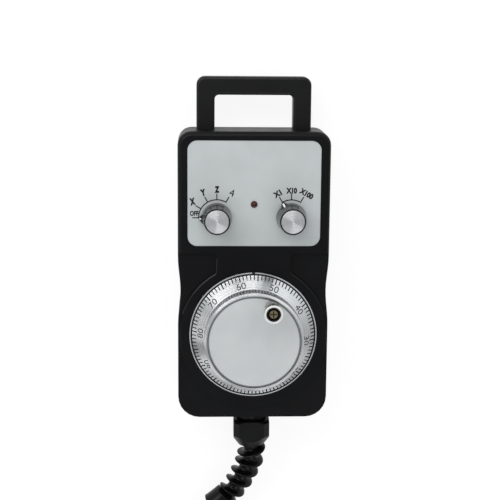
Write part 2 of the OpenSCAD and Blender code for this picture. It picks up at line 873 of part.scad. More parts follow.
module indicator_led() color([0.45, 0.08, 0.06])
translate([0, lamp_y, 0]) {
    translate([0, 0, ceiling_z - 1])
        cylinder(r = 1.9, h = 1);
    translate([0, 0, ceiling_z - tiny])
        cylinder(r = 1.55, h = body_h - ceiling_z);
    intersection() {
        translate([0, 0, body_h - tiny * 2])
            sphere(r = 1.55);
        translate([-2, -2, body_h - tiny * 2])
            cube(4);
    }
    for (side = [-1, 1])
        translate([side * 0.7, 0, board_z + board_t])
            cylinder(r = 0.25, h = ceiling_z - 1 - board_z - board_t + tiny);
}

module led_spacer() color([0.9, 0.9, 0.88])
translate([0, lamp_y, board_z + board_t])
    ring(2.6, 1.2, ceiling_z - 1 - board_z - board_t);

module main_board() color([0.1, 0.35, 0.2])
difference() {
    box_between([-board_half_w, board_low_y, board_z], [board_half_w, board_top_y, board_z + board_t]);
    for (p = board_screw_at)
        translate([p[0], p[1], 0])
            cylinder(r = 1.4, h = 10);
}

module board_chips() color([0.1, 0.1, 0.1])
for (x = [-14, 0, 14])
    box_between([x - 3.2, 90, board_z + board_t], [x + 3.2, 109, board_z + board_t + 3.4]);

module board_screws() color([0.6, 0.6, 0.62])
for (p = board_screw_at)
    translate([p[0], p[1], board_z + board_t])
        pan_screw(1.25, 4.8, 2.3, 1.7);

module terminal_block() color([0.2, 0.45, 0.3])
difference() {
    box_between([-18, 46, board_z + board_t], [18, 54, board_z + board_t + 10]);
    for (x = [-15:5:15])
        translate([x, 50, board_z + board_t + 7])
            cylinder(r = 1.7, h = 5);
}

module terminal_screws() color([0.7, 0.7, 0.72])
for (x = [-15:5:15])
    translate([x, 50, board_z + board_t + 7])
        difference() {
            cylinder(r = 1.7, h = 2);
            translate([-3, -0.25, 1.3])
                cube([6, 0.5, 2]);
        }

// ---- Gland ----

// Puts the cable's way out along local +Z, with z = 0 on the housing's bottom wall
module on_gland_axis() {
    translate([0, body_low_y, gland_z])
        rotate([90, 0, 0])
            children();
}

module gland_body() color([0.09, 0.09, 0.1])
on_gland_axis()
    difference() {
        union() {
            translate([0, 0, -wall - 6.5])
                cylinder(r = gland_thread_r, h = wall + 6.5 + tiny);
            intersection() {
                nut_prism(gland_hex_w, gland_flange_l);
                cylinder(r1 = gland_hex_w / 2 + 2.2, r2 = gland_hex_w / 2 - 1, h = gland_flange_l);
            }
            translate([0, 0, gland_flange_l - tiny])
                cylinder(r = gland_thread_r, h = 8);
        }
        translate([0, 0, -wall - 8])
            cylinder(r = gland_bore_r, h = 40);
        translate([0, 0, gland_flange_l + 1])
            cylinder(r = 6, h = 10);
    }

module gland_locknut() color([0.09, 0.09, 0.1])
on_gland_axis()
    translate([0, 0, -wall - 4.5])
        difference() {
            nut_prism(20, 4.5);
            translate([0, 0, -1])
                cylinder(r = gland_thread_r, h = 8);
        }

module gland_seal() color([0.05, 0.05, 0.05])
on_gland_axis()
    translate([0, 0, gland_flange_l + 1])
        ring(6, gland_bore_r - 0.2, 7);

// Square nut with broad chamfered corners, drawn in at both ends
module gland_nut() color([0.09, 0.09, 0.1])
on_gland_axis()
    translate([0, 0, gland_flange_l])
        difference() {
            intersection() {
                linear_extrude(gland_nut_l)
                    intersection() {
                        square(gland_nut_w, center = true);
                        rotate(45)
                            square(gland_nut_w * 1.2, center = true);
                    }
                union() {
                    cylinder(r1 = 11.6, r2 = 13.6, h = 1.6);
                    translate([0, 0, 1.6 - tiny])
                        cylinder(r = 13.6, h = gland_nut_l - nut_taper_l - 1.6);
                    translate([0, 0, gland_nut_l - nut_taper_l - tiny])
                        cylinder(r1 = 13.6, r2 = 8, h = nut_taper_l + tiny);
                }
            }
            translate([0, 0, -1])
                cylinder(r = gland_thread_r, h = 9.2);
            cylinder(r = gland_bore_r + 1.6, h = gland_nut_l + 1);
        }

// ---- Cable ----

module inner_cable() color([0.06, 0.06, 0.06])
    cable_tube(inner_route, 2);

// Radius of the guard along its length (0 to 1) and round it: plain inside the nut, then a rib
// that winds round a narrowing core, running out into a flared collar with a chamfered end
guard_rib_from = 0.125;
guard_rib_to = 0.7;
guard_rib_turn = 72;
guard_collar_r = 9.5;
guard_collar_end = 0.93;

function guard_collar(along) =
    let (rise = min((along - guard_rib_to) / 0.04, 1),
         flare = (along - guard_rib_to) / (guard_collar_end - guard_rib_to),
         chamfer = max(along - guard_collar_end, 0) / (1 - guard_collar_end))
    4.3 + rise * (guard_collar_r - 1.6 - 4.3) + 1.6 * min(flare, 1) - 2.4 * chamfer;

function guard_radius(along, turn) =
    let (core = 4.8 - 0.7 * along,
         crest = guard_d / 2 - 2.2 * along,
         part = (along - guard_rib_from) / (guard_rib_to - guard_rib_from),
         wound = 360 * guard_turns * part + guard_rib_turn,
         rib = pow(0.5 + 0.5 * cos(wound + turn), 1.4))
    along <= guard_rib_from ? 5.1
    : along > guard_rib_to ? guard_collar(along)
    : core + (crest - core) * rib;

module bend_guard() color([0.04, 0.04, 0.04]) {
    path = smooth_route(guard_route, 9);
    last = len(path) - 1;
    swept(path, [for (i = [0:last]) [for (s = [0:19]) guard_radius(i / last, 18 * s)]]);
}

module cable_lead() color([0.06, 0.06, 0.06])
    cable_tube(lead_route, 3);

module cable_coil() color([0.06, 0.06, 0.06])
translate([coil_at[0], coil_at[1], 0])
    rotate_extrude()
        translate([coil_mean_r, 0])
            polygon([[-coil_half_w + 1.5, 0], [coil_half_w - 1.5, 0], [coil_half_w, 2],
                     [coil_half_w, 5.2], [coil_half_w - 3.5, 8.2], [coil_half_w - 3.5, coil_h - 2],
                     [coil_half_w - 5.5, coil_h], [5.5 - coil_half_w, coil_h],
                     [3.5 - coil_half_w, coil_h - 2], [3.5 - coil_half_w, 8.2],
                     [-coil_half_w, 5.2], [-coil_half_w, 2]]);

module cable_tail() color([0.06, 0.06, 0.06])
    cable_tube(tail_route, 3);

// ---- Connector ----

module on_connector_axis() {
    translate(connector_at)
        rotate([0, 0, -connector_turn])
            rotate([-90, 0, 0])
                children();
}

module connector_shell() color([0.72, 0.73, 0.74])
on_connector_axis()
    rotate_extrude()
        polygon([[0, 0], [4.6, 0], [5.4, 1.2], [5.4, 6], [6.4, 7], [6.4, 9.5], [connector_r, 12],
                 [connector_r, 24], [7.6, 24.6], [7.6, 30], [0, 30]]);

module connector_ring() color([0.72, 0.73, 0.74])
on_connector_axis()
    translate([0, 0, 24.6])
        difference() {
            linear_extrude(14)
                polygon([for (i = [0:79]) let (a = 4.5 * i, r = connector_ring_r - (i % 2) * 0.35)
                    [r * cos(a), r * sin(a)]]);
            translate([0, 0, -1])
                cylinder(r = 7.6, h = 16);
        }

module connector_insert() color([0.1, 0.1, 0.1])
on_connector_axis()
    translate([0, 0, 30]) {
        cylinder(r = 6.6, h = 5);
        for (a = [0:60:300])
            rotate(a)
                translate([4.2, 0, 5 - tiny])
                    cylinder(r = 0.5, h = 3);
    }

front_cover();
rear_cover();
housing_seal();
cover_screws();
hanging_handle();
handle_screws();
control_plate();
bezel_ring();
dial();
dial_face();
dial_screw();
wheel_shaft();
shaft_clip();
shaft_bearings();
encoder_body();
encoder_cap();
encoder_disc();
encoder_board();
encoder_sensor();
encoder_screws();
grip();
grip_bush();
grip_washer();
grip_screw();
axis_knob();
axis_knob_cap();
axis_set_screw();
axis_shaft();
axis_rotor();
axis_switch_body();
axis_wafer();
axis_nut();
multiplier_knob();
multiplier_knob_cap();
multiplier_set_screw();
multiplier_shaft();
multiplier_rotor();
multiplier_switch_body();
multiplier_wafer();
multiplier_nut();
indicator_led();
led_spacer();
main_board();
board_chips();
board_screws();
terminal_block();
terminal_screws();
gland_body();
gland_locknut();
gland_seal();
gland_nut();
inner_cable();
bend_guard();
cable_lead();
cable_coil();
cable_tail();
connector_shell();
connector_ring();
connector_insert();
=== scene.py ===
import math

import bmesh
import bpy
from mathutils import Matrix, Vector


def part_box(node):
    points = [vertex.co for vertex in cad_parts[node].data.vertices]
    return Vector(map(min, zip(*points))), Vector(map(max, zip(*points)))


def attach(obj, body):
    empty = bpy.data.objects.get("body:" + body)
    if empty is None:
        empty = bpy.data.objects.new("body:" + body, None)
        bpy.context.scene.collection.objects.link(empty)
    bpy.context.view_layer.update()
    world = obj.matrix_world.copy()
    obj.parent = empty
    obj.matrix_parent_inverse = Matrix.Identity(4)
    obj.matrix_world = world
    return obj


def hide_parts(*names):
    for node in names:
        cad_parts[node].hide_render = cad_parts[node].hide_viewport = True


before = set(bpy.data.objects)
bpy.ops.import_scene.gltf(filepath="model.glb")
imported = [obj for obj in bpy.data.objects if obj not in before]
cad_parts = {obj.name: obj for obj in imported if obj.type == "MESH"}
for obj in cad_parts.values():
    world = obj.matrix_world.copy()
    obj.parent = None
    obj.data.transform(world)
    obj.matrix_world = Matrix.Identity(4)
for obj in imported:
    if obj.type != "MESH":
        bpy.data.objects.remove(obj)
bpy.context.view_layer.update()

# The CAD's box, taken before anything is added.
MM = 0.001


def mm(x, y, z):
    """A point given in millimetres, as a vector in metres."""
    return Vector((x, y, z)) * MM


def node_middle(name):
    """The middle of a CAD node's box, in metres."""
    low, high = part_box(name)
    return (low + high) / 2


def node_top(name):
    """The height of a CAD node's highest point, in metres."""
    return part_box(name)[1].z


def node_radius(name):
    """Half the width of a round upright CAD node, in metres."""
    low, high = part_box(name)
    return (high.x - low.x) / 2


# ---------------------------------------------------------------- sizes

# Taken from the frame, in metres.
DIAL = node_middle("dial_face")
AXIS_KNOB = node_middle("axis_knob_cap")
STEP_KNOB = node_middle("multiplier_knob_cap")
# Taken from the frame, in millimetres.
BEZEL_R = node_radius("bezel_ring") / MM
BEZEL_TOP = node_top("bezel_ring") / MM
COVER_TOP = node_top("front_cover") / MM
DISC_TOP = node_top("dial_face") / MM
PLATE_TOP = node_top("control_plate") / MM
# Where the bright line runs on the bezel's top, in millimetres from the dial's axis.
BRIGHT_LINE = (37.4, 38.08)
# Radius and height of the dial's sloping scale at its outer and its inner edge, in millimetres.
DIAL_EDGE = (36.5, 35.2)
DIAL_INNER = (29.6, 41.7)
CONE = math.atan2(DIAL_INNER[1] - DIAL_EDGE[1], DIAL_EDGE[0] - DIAL_INNER[0])
# Axes of the two selectors, in millimetres.
AXIS_AT = (-21.95, 70.8)
STEP_AT = (21.95, 70.8)
CABLE_R = 3.5
# Thickness of a printed mark, in millimetres.
INK_T = 0.05
# Points nearer than this to each other, in metres, are merged.
MERGE = 1e-7


# ---------------------------------------------------------------- camera

CAMERA_AT = (-31.1, 184.3, 731.0)
# Turns away from looking straight down, in degrees.
CAMERA_TURNS = (("Y", -2.37), ("X", -10.77), ("Z", 0.48))


def add_camera():
    """Looks down on the face from just past the top end, a little from the left."""
    camera = bpy.data.cameras.new("camera")
    camera.sensor_width = 36.0
    camera.lens = 86.4
    camera.clip_start = 0.01
    camera.clip_end = 20.0
    eye = bpy.data.objects.new("camera", camera)
    place = Matrix.Translation(mm(*CAMERA_AT))
    for axis, degrees in CAMERA_TURNS:
        place = place @ Matrix.Rotation(math.radians(degrees), 4, axis)
    eye.matrix_world = place
    bpy.context.scene.collection.objects.link(eye)
    bpy.context.scene.camera = eye


add_camera()
bpy.context.scene.view_settings.view_transform = "Standard"


# ---------------------------------------------------------------- making meshes

def link(obj):
    """Puts a new object into the scene."""
    bpy.context.scene.collection.objects.link(obj)
    return obj


def mesh_object(name, points, faces, smooth_angle=35):
    """A new object from points in metres, with merged doubles and faces that point outwards."""
    mesh = bpy.data.meshes.new(name)
    mesh.from_pydata([tuple(p) for p in points], [], faces)
    mesh.validate()
    obj = link(bpy.data.objects.new(name, mesh))
    clean(obj, smooth_angle)
    return obj


def dressed(obj, finish, body):
    """Gives an object its finish and lets it ride on a body."""
    obj.data.materials.append(finish)
    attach(obj, body)
    return obj


def clean(obj, smooth_angle=35):
    """Merges doubles, turns the faces outwards and rounds the shading below the given angle."""
    work = bmesh.new()
    work.from_mesh(obj.data)
    bmesh.ops.remove_doubles(work, verts=work.verts, dist=MERGE)
    bmesh.ops.recalc_face_normals(work, faces=work.faces)
    work.to_mesh(obj.data)
    work.free()
    obj.data.shade_smooth()
    obj.data.set_sharp_from_angle(angle=math.radians(smooth_angle))


def lathe(name, profile, finish, body, centre=(0, 0), segments=192):
    """Turns a closed profile of (radius, height) pairs in millimetres round an upright axis."""
    points, faces = [], []
    count = len(profile)
    for i in range(segments):
        a = 2 * math.pi * i / segments
        for r, z in profile:
            points.append(mm(r * math.cos(a) + centre[0], r * math.sin(a) + centre[1], z))
    for i in range(segments):
        j = (i + 1) % segments
        for k in range(count):
            n = (k + 1) % count
            faces.append((i * count + k, j * count + k, j * count + n, i * count + n))
    return dressed(mesh_object(name, points, faces), finish, body)


def smooth_route(points, steps):
    """Points on a smooth curve through the given ones."""
    out = []
    last = len(points) - 1
    for i in range(last):
        a, b, c, d = points[max(i - 1, 0)], points[i], points[i + 1], points[min(i + 2, last)]
        for k in range(steps):
            t = k / steps
            out.append(b + 0.5 * t * ((c - a) + t * ((2 * a - 5 * b + 4 * c - d)
                                                     + t * (3 * b - a - 3 * c + d))))
    return out + [points[last]]


def route_frame(path, i):
    """The heading at a point of a path, and the two directions across it."""
    ahead = (path[min(i + 1, len(path) - 1)] - path[max(i - 1, 0)]).normalized()
    side = ahead.cross(Vector((0, 0, 1))).normalized()
    return ahead, side, side.cross(ahead)


def swept(name, path, radii, smooth_angle=60):
    """A closed tube along a path, with a list of radii round each of its points."""
    points, faces = [], []
    sides = len(radii[0])
    for i, p in enumerate(path):
        _, side, up = route_frame(path, i)
        for s in range(sides):
            a = 2 * math.pi * s / sides
            points.append(p + radii[i][s] * (math.cos(a) * side + math.sin(a) * up))
    for i in range(len(path) - 1):
        for s in range(sides):
            t = (s + 1) % sides
            faces.append((i * sides + s, i * sides + t, (i + 1) * sides + t, (i + 1) * sides + s))
    points += [path[0], path[-1]]
    first, end = len(points) - 2, len(points) - 1
    for s in range(sides):
        t = (s + 1) % sides
        faces.append((first, t, s))
        faces.append((end, (len(path) - 1) * sides + s, (len(path) - 1) * sides + t))
    return mesh_object(name, points, faces, smooth_angle)


# ---------------------------------------------------------------- colours and nodes

def linear(colour):
    """An sRGB hex colour as the linear values that a shader takes."""
    values = [int(colour[i:i + 2], 16) / 255 for i in (1, 3, 5)]
    return [v / 12.92 if v <= 0.04045 else ((v + 0.055) / 1.055) ** 2.4 for v in values] + [1.0]


def add(tree, kind, inputs=None, **settings):
    """Adds a node, sets its options, and fills or links its inputs."""
    node = tree.nodes.new(kind)
    for name, value in settings.items():
        setattr(node, name, value)
    for name, value in (inputs or {}).items():
        if isinstance(value, bpy.types.NodeSocket):
            tree.links.new(value, node.inputs[name])
        else:
            node.inputs[name].default_value = value
    return node


def new_material(name, colour, **sockets):
    """A material with its main shader, whose sockets take the given plain values."""
    material = bpy.data.materials.new(name)
    material.use_nodes = True
    tree = material.node_tree
    tree.nodes.clear()
    shader = add(tree, "ShaderNodeBsdfPrincipled", {"Base Color": linear(colour)})
    for socket, value in sockets.items():
        shader.inputs[socket.replace("_", " ")].default_value = value
    add(tree, "ShaderNodeOutputMaterial", {"Surface": shader.outputs[0]})
    return material, tree, shader


def object_place(tree, centre=(0, 0, 0), stretch=(1, 1, 1)):
    """Object coordinates moved to a centre and stretched."""
    place = add(tree, "ShaderNodeTexCoord").outputs["Object"]
    moved = add(tree, "ShaderNodeVectorMath", {0: place, 1: centre},
                operation="SUBTRACT").outputs[0]
    return add(tree, "ShaderNodeMapping", {"Vector": moved, "Scale": stretch}).outputs[0]


def axis_distance(tree, centre):
    """The distance in metres from an upright axis through a centre."""
    flat = add(tree, "ShaderNodeVectorMath", {0: object_place(tree, centre), 1: (1, 1, 0)},
               operation="MULTIPLY").outputs[0]
    return add(tree, "ShaderNodeVectorMath", {0: flat}, operation="LENGTH").outputs["Value"]


def blend(tree, share, first, second, **settings):
    """A colour carried from a first to a second one."""
    return add(tree, "ShaderNodeMix", {0: share, 6: first, 7: second}, data_type="RGBA",
               **settings).outputs[2]


def maths(tree, operation, first, second):
    """The result of a sum on two values."""
    return add(tree, "ShaderNodeMath", {0: first, 1: second}, operation=operation).outputs[0]


def ranged(tree, value, start, end, low=0.0, high=1.0):
    """A value carried from a start and an end to a low and a high value."""
    return add(tree, "ShaderNodeMapRange", {"Value": value, "From Min": start, "From Max": end,
                                            "To Min": low, "To Max": high}).outputs[0]


# Most of a noise pattern lies between these values.
NOISE_LOW, NOISE_HIGH = 0.3, 0.7


def vary(tree, shader, socket, pattern, low, high):
    """Lets a pattern carry a number on the shader from a low to a high value."""
    tree.links.new(ranged(tree, pattern, NOISE_LOW, NOISE_HIGH, low, high), shader.inputs[socket])


def tint(tree, shader, pattern, dark, pale):
    """Lets a pattern carry the colour between two near shades."""
    share = ranged(tree, pattern, NOISE_LOW, NOISE_HIGH)
    tree.links.new(blend(tree, share, linear(dark), linear(pale)), shader.inputs["Base Color"])


def relief(tree, shader, pattern, depth_mm):
    """Turns a pattern into a fine surface relief of a depth in millimetres."""
    bump = add(tree, "ShaderNodeBump", {"Strength": 1.0, "Distance": depth_mm * MM,
                                        "Height": pattern})
    tree.links.new(bump.outputs[0], shader.inputs["Normal"])


def noise_scale(size_mm):
    """The scale at which a noise pattern's spots are about the given size."""
    return 0.5 / (size_mm * MM)


def speckle(tree, place, size_mm, detail=2.0):
    """An even random pattern whose spots are about the given size."""
    return add(tree, "ShaderNodeTexNoise", {"Vector": place, "Scale": noise_scale(size_mm),
                                            "Detail": detail, "Roughness": 0.55}).outputs[0]


# ---------------------------------------------------------------- finishes

def moulded_plastic(name, dark, pale, gloss, grain_mm=0.45, depth_mm=0.012, sheen=0.5):
    """A moulded plastic: an even spark-eroded grain with slow changes of shade and gloss."""
    material, tree, shader = new_material(name, pale, IOR=1.5, Specular_IOR_Level=sheen)
    place = object_place(tree)
    tint(tree, shader, speckle(tree, place, 9.0), dark, pale)
    vary(tree, shader, "Roughness", speckle(tree, place, 4.0, 4.0), gloss - 0.04, gloss + 0.05)
    relief(tree, shader, speckle(tree, place, grain_mm), depth_mm)
    return material


def turned_metal(name, dark, pale, gloss, centre, groove_mm=0.25, depth_mm=0.004, spun=0.75):
    """A metal cut in a lathe: fine rings round its axis, so that the light stands in fans."""
    material, tree, shader = new_material(name, pale, Metallic=1.0, Anisotropic=spun,
                                          Anisotropic_Rotation=0.25)
    rings = add(tree, "ShaderNodeTexNoise", {"W": axis_distance(tree, centre),
                                             "Scale": noise_scale(groove_mm), "Detail": 3.0},
                noise_dimensions="1D").outputs[0]
    tint(tree, shader, rings, dark, pale)
    vary(tree, shader, "Roughness", rings, gloss - 0.02, gloss + 0.03)
    relief(tree, shader, rings, depth_mm)
    tangent = add(tree, "ShaderNodeTangent", direction_type="RADIAL", axis="Z")
    tree.links.new(tangent.outputs[0], shader.inputs["Tangent"])
    return material


def satin_metal(name, dark, pale, gloss, grain_mm=0.3, depth_mm=0.004, stretch=(1, 1, 1),
                bare=1.0):
    """A blasted, plated or brushed metal, its grain drawn out along one way when stretched.

    A thick anodised or lacquered layer scatters light, so it is less than wholly bare metal.
    """
    material, tree, shader = new_material(name, pale, Metallic=bare)
    place = object_place(tree, stretch=stretch)
    tint(tree, shader, speckle(tree, object_place(tree), 12.0), dark, pale)
    grain = speckle(tree, place, grain_mm, 3.0)
    vary(tree, shader, "Roughness", grain, gloss - 0.05, gloss + 0.06)
    relief(tree, shader, grain, depth_mm)
    return material


# Moulded black ABS: a fine even grain that breaks its highlights up softly.
HOUSING = moulded_plastic("moulded_abs", "#08080a", "#0c0c0e", 0.42, 0.45, 0.012, 0.15)
# Edge of the housing's raised face: a painted glint, its plastic coloured paler than the housing's,
# and a little glossier.
FACE_EDGE_GLINT = moulded_plastic("abs_edge_painted_glint", "#0c0c0d", "#121213", 0.32, 1.0, 0.002, 0.2)
# Moulded nylon: smoother than the housing, with a waxy gloss.
HANDLE = moulded_plastic("moulded_nylon", "#0b0b0c", "#101011", 0.38, 0.6, 0.01, 0.25)
# Glass-filled nylon of a cable gland: slightly greyer, with a dull gloss.
GLAND = moulded_plastic("glass_filled_nylon", "#0c0c0d", "#121213", 0.36, 0.7, 0.008, 0.16)
# Glossy nylon of the spiral guard: bright thin lines along its ribs.
GUARD = moulded_plastic("glossy_nylon", "#040405", "#080809", 0.26, 1.6, 0.004, 0.16)
# Nitrile rubber of the seals: dull and even. The same colour is the painted shade in the grip's
# recess.
SEAL_AND_SHADE = moulded_plastic("nitrile_rubber_and_painted_shade", "#101010", "#181818", 0.75, 0.5, 0.02, 0.3)
# Soft PVC cable sheath: extruded, with a low satin gloss and faint waves along it.
SHEATH = moulded_plastic("pvc_sheath", "#0b0b0c", "#111112", 0.4, 1.6, 0.02, 0.25)
# Phenolic knob: hard, black and fairly glossy.
KNOB = moulded_plastic("phenolic_knob", "#080809", "#0d0d0e", 0.16, 2.5, 0.002, 0.5)
# Acetal: white-grey engineering plastic of the rotors and spacer.
ACETAL = moulded_plastic("acetal", "#c9c8c2", "#dcdbd5", 0.4)
# Switch case: green-black phenolic board material.
SWITCH_CASE = moulded_plastic("phenolic_case", "#1d1f22", "#2a2c30", 0.45)
# Paper laminate of the contact wafer: warm brown, slightly fibrous.
WAFER = moulded_plastic("paper_laminate", "#7a4a24", "#93602f", 0.5, 0.9, 0.02)
# Glass-epoxy circuit board under green lacquer: deep green, glossy.
BOARD = moulded_plastic("lacquered_board", "#0f4a2a", "#17603a", 0.3, 1.4, 0.01)
# Black enamel of the bezel's index mark, and black painted shade in the knurl's grooves and the
# screw's cross recess: glossy.
BLACK_MARK_AND_SHADE = moulded_plastic("black_enamel_and_painted_shade", "#0c0c0c", "#121212", 0.3, 0.6, 0.004)
# Chip epoxy: matt charcoal.
CHIP = moulded_plastic("chip_epoxy", "#1b1b1d", "#262628", 0.6)
# Terminal block nylon: leaf green, moulded.
TERMINAL = moulded_plastic("terminal_nylon", "#1f7a43", "#2a9152", 0.45)
# Encoder scale: dark glass-clear film over black.
SCALE = moulded_plastic("encoder_film", "#2a2c30", "#3a3d42", 0.15, 1.5, 0.003)
# Anodised aluminium of the control plate: blue-grey, very finely blasted.
PLATE_METAL = satin_metal("anodised_aluminium", "#c2c6c6", "#cbcfcf", 0.42, 0.35, 0.004, bare=0.3)
# Turned aluminium of the dial: bright and dark fans round its axis.
DIAL_METAL = turned_metal("turned_aluminium", "#c6c8c9", "#e2e3e3", 0.25, DIAL, 0.35, 0.002, 0.9)
# Etched aluminium of the dial's face disc: flat, pale and matt.
DISC_METAL = satin_metal("etched_aluminium", "#c4c7c8", "#cfd1d1", 0.46, 0.4, 0.004, bare=0.3)
# Spun aluminium caps of the knobs: strong fans and fine rings, each round its own knob's axis.
CAP_METAL, CAP_METAL_STEP = (
    turned_metal(name, "#d6d7d8", "#f4f5f5", 0.3, centre, 0.3, 0.005, 0.95)
    for name, centre in (("spun_aluminium", AXIS_KNOB), ("spun_aluminium_step", STEP_KNOB)))
# Painted shade round the face disc: the same turned aluminium in darker colours, standing for a
# bevel turned away from the light.
PAINTED_BEVEL_SHADE = turned_metal("aluminium_painted_bevel_shade", "#8b8d8f", "#9fa1a3", 0.36, DIAL, 0.3, 0.002, 0.0)
# Bright nickel plate, warm, of the grip's screw.
NICKEL = satin_metal("bright_nickel", "#94876a", "#b9ab8c", 0.2, 0.6, 0.003)
# Zinc-plated steel of the screws: cool grey with a slight haze.
ZINC = satin_metal("zinc_plated_steel", "#9fa4a8", "#b9bec2", 0.32, 0.7, 0.005)
# Ground steel of shafts and bearings: clean and bright.
STEEL = satin_metal("ground_steel", "#a9adb0", "#c3c7ca", 0.22, 0.4, 0.003, (1, 1, 0.1))
# Drawn brass: warm yellow, slightly dull.
BRASS = satin_metal("drawn_brass", "#a8853f", "#c7a255", 0.3, 0.6, 0.004)
# Die-cast zinc of the encoder's case: grey and finely grained.
DIECAST = satin_metal("die_cast_zinc", "#7d8186", "#94989c", 0.45, 0.8, 0.012)
# Nickel-plated brass of the plug's shell and ring.
PLUG_METAL = satin_metal("nickel_plated_brass", "#b5b6b4", "#cfd0ce", 0.26, 0.5, 0.004)


def bright_cut_ring():
    """A black-anodised aluminium ring with a bright line cut round its top, of the bezel."""
    black = "#141415"
    material, tree, shader = new_material("bright_cut_anodised_ring", black)
    radius = axis_distance(tree, DIAL)
    line = maths(tree, "MULTIPLY", maths(tree, "GREATER_THAN", radius, BRIGHT_LINE[0] * MM),
                 maths(tree, "LESS_THAN", radius, BRIGHT_LINE[1] * MM))
    rings = speckle(tree, object_place(tree), 0.5)
    bright = blend(tree, rings, linear("#d8dadb"), linear("#eeefef"))
    tree.links.new(blend(tree, line, linear(black), bright), shader.inputs["Base Color"])
    tree.links.new(line, shader.inputs["Metallic"])
    vary(tree, shader, "Roughness", rings, 0.3, 0.38)
    return material


def plated_grip_with_painted_side_shade():
    """Satin chromium plate of the spinner grip: a pale face, and painted shade on its side."""
    material, tree, shader = new_material("satin_chromium_with_painted_side_shade", "#f1f1ee", Metallic=0.5)
    normal = add(tree, "ShaderNodeNewGeometry").outputs["Normal"]
    upward = add(tree, "ShaderNodeSeparateXYZ", {"Vector": normal}).outputs["Z"]
    # Painted shade: the colour darkens from the pale face to a dark brown-grey where the surface
    # faces sideways.
    colour = blend(tree, ranged(tree, upward, 0.1, 0.6), linear("#4e4a43"), linear("#f4f4f1"))
    tree.links.new(colour, shader.inputs["Base Color"])
    grain = speckle(tree, object_place(tree), 0.3, 3.0)
    vary(tree, shader, "Roughness", grain, 0.25, 0.36)
    relief(tree, shader, grain, 0.003)
    return material


def lamp_lens():
    """Dark red clear acrylic over an unlit lamp: deep colour, sharp highlight."""
    material, tree, shader = new_material("red_acrylic", "#6a1410", Roughness=0.08, IOR=1.49,
                                          Specular_IOR_Level=0.3, Coat_Weight=0.2,
                                          Coat_Roughness=0.05)
    tint(tree, shader, speckle(tree, object_place(tree), 0.8), "#2c0604", "#480c08")
    return material


def printing_ink(name, colour):
    """Screen-printed ink: matt, a little uneven in its gloss."""
    material, tree, shader = new_material(name, colour, Specular_IOR_Level=0.3)
    vary(tree, shader, "Roughness", speckle(tree, object_place(tree), 0.5), 0.5, 0.7)
    return material


def white_paint():
    """White enamel filled into the knobs' pointer lines."""
    material, tree, shader = new_material("white_enamel", "#ecece8", IOR=1.5)
    vary(tree, shader, "Roughness", speckle(tree, object_place(tree), 0.4), 0.3, 0.45)
    return material


BEZEL = bright_cut_ring()
GRIP_METAL = plated_grip_with_painted_side_shade()
LENS = lamp_lens()
INK = printing_ink("black_ink", "#121212")
# Thin ink wiped into the dial's engraved numbers, through which some metal shows.
WIPED_INK = printing_ink("wiped_grey_ink", "#3e3f41")
PAINT = white_paint()


# ---------------------------------------------------------------- the lead

def ground_route(points, steps=4):
    """A smooth path in metres through points given in millimetres."""
    return smooth_route([mm(*p) for p in points], steps)


# Points of the cable's middle, in millimetres: in the guard, on to the coil, and up to the plug.
GUARD_ROUTE = [[0, -67, 17], [0, -74.2, 17], [0.2, -81.2, 15.9], [-1.6, -87.9, 14.5],
               [-4.3, -94.7, 13.1], [-7.6, -101.3, 11.8], [-11.7, -107.4, 10.7],
               [-16.2, -112.8, 10.1], [-20.7, -117.6, 9.9], [-23.1, -120, 9.8]]
LEAD_ROUTE = [[-23.1, -120, 9.8], [-27.6, -123.9, 9], [-32.5, -127.5, 7.6],
              [-37.8, -130.6, 5.9], [-43.6, -133.2, 4.3], [-50, -135.3, 3.5]]
TAIL_ROUTE = [[-1.5, -222.5, 9.6], [5.6, -216.4, 10.2], [12.6, -209.6, 10.6],
              [18.8, -202.5, 10.1], [23.8, -195.5, 9.5], [27.5, -188.5, 9.2],
              [29.8, -181.8, 9.4], [31.2, -175, 9.6]]
COIL_MIDDLE = Vector((-33.0, -185.0))
COIL_STEPS = 30
# Where the coil starts and ends round its middle, in degrees.
COIL_FROM = 109
COIL_TO = 310
LOWER_TURNS = [52.5, 45.5, 38.5, 31.5]
UPPER_TURNS = [35.0, 42.0, 49.0]
# Height of the cable's middle on the floor, and in a valley between two turns.
FLOOR_LAY, TOP_LAY = 3.5, 9.6
# Share of a turn after which it moves across, and how far it rises to cross a turn below.
CROSSING_FROM = 0.72
CROSSING_RISE = 0.9
CABLE_SIDES = 20


def eased(t):
    """A smooth step from 0 to 1."""
    t = max(0.0, min(1.0, t))
    return t * t * (3 - 2 * t)


def coil_route():
    """Four turns wound inwards on the floor, then turns in the valleys on top, wound outwards."""
    radii = LOWER_TURNS + UPPER_TURNS
    last, last_lower = len(radii) - 1, len(LOWER_TURNS) - 1
    total = last * COIL_STEPS + round(COIL_STEPS * (COIL_TO - COIL_FROM) / 360)
    points = []
    for i in range(1, total):
        turn, part = divmod(i / COIL_STEPS, 1)
        turn = int(turn)
        move = eased((part - CROSSING_FROM) / (1 - CROSSING_FROM))
        r = radii[turn] + (radii[min(turn + 1, last)] - radii[turn]) * move
        if turn < last_lower:
            z = FLOOR_LAY
        elif turn == last_lower:
            z = FLOOR_LAY + (TOP_LAY - FLOOR_LAY) * move
        else:
            z = TOP_LAY + CROSSING_RISE * math.sin(math.pi * move) ** 2
        a = math.radians(COIL_FROM) + 2 * math.pi * i / COIL_STEPS
        points.append(mm(COIL_MIDDLE.x + r * math.cos(a), COIL_MIDDLE.y + r * math.sin(a), z))
    return points


